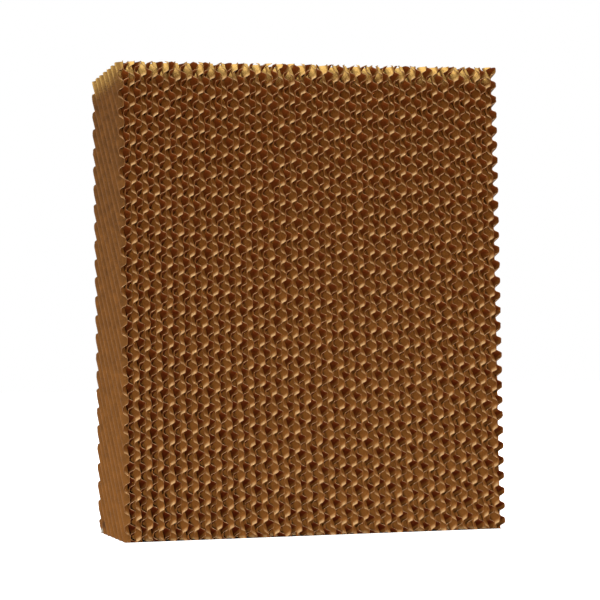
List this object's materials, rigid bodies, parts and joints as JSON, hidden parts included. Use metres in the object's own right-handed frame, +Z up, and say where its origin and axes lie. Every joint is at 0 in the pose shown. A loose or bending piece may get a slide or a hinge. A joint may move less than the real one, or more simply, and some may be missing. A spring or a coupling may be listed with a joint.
{
  "type": "evaporative cooling pad",
  "caption": "Upright block of glued, fluted kraft paper sheets whose flutes cross, for air to be drawn through and cooled while water runs down it.",
  "frame": {"origin": "centre of the bottom face, the face that the pad stands on", "axes": "+Z up along the pad's height, +Y through its depth from the front face to the back face, the way the air goes, +X along its width, across the sheets"},
  "size_m": [0.4998, 0.2, 0.6],
  "materials": {
    "resin_paper": "matte"
  },
  "bodies": {
    "root": {"steep_sheets_01": "resin_paper", "steep_sheets_02": "resin_paper", "steep_sheets_03": "resin_paper", "steep_sheets_04": "resin_paper", "steep_sheets_05": "resin_paper", "steep_sheets_06": "resin_paper", "steep_sheets_07": "resin_paper", "steep_sheets_08": "resin_paper", "steep_sheets_09": "resin_paper", "steep_sheets_10": "resin_paper", "steep_sheets_11": "resin_paper", "steep_sheets_12": "resin_paper", "steep_sheets_13": "resin_paper", "steep_sheets_14": "resin_paper", "steep_sheets_15": "resin_paper", "steep_sheets_16": "resin_paper", "steep_sheets_17": "resin_paper", "shallow_sheets_01": "resin_paper", "shallow_sheets_02": "resin_paper", "shallow_sheets_03": "resin_paper", "shallow_sheets_04": "resin_paper", "shallow_sheets_05": "resin_paper", "shallow_sheets_06": "resin_paper", "shallow_sheets_07": "resin_paper", "shallow_sheets_08": "resin_paper", "shallow_sheets_09": "resin_paper", "shallow_sheets_10": "resin_paper", "shallow_sheets_11": "resin_paper", "shallow_sheets_12": "resin_paper", "shallow_sheets_13": "resin_paper", "shallow_sheets_14": "resin_paper", "shallow_sheets_15": "resin_paper", "shallow_sheets_16": "resin_paper", "shallow_sheets_17": "resin_paper"}
  },
  "joints": []
}
